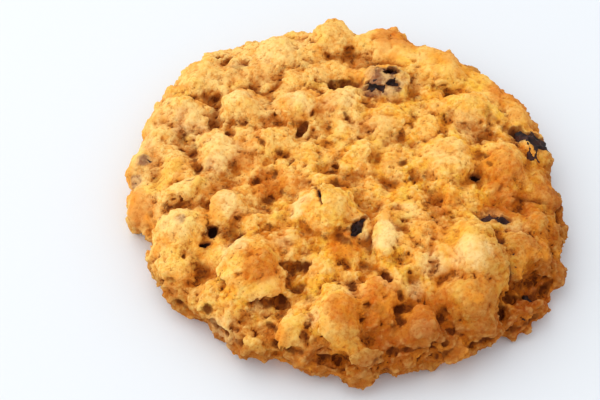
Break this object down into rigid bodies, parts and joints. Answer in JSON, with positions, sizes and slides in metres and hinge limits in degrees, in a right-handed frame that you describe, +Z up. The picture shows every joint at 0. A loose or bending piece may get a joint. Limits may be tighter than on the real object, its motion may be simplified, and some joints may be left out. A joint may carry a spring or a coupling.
{
  "type": "oatmeal raisin cookie",
  "caption": "Round, lumpy baked oatmeal cookie with raisins and rolled oat flakes in its cracked, browned top and a flat underside.",
  "frame": {"origin": "centre of the outline on the flat underside", "axes": "+Z up through the domed top, +X right as the picture shows it, +Y away from the viewer, towards the rear rim"},
  "size_m": [0.0789, 0.0792, 0.0144],
  "materials": {
    "dough": "matt baked oat dough, golden, browned on its peaks",
    "raisin": "satin wrinkled raisin skin, nearly black"
  },
  "bodies": {
    "root": {"dough": "dough", "raisin_rear": "raisin", "raisin_rear_left": "raisin", "raisin_left": "raisin", "raisin_left_pit": "raisin", "raisin_middle": "raisin", "raisin_middle_pit": "raisin", "raisin_right": "raisin", "raisin_right_small": "raisin", "raisin_under_flake": "raisin", "raisin_right_rim": "raisin", "raisin_left_rim": "raisin", "raisin_right_foot": "raisin", "raisin_back_rim": "raisin"}
  },
  "joints": []
}
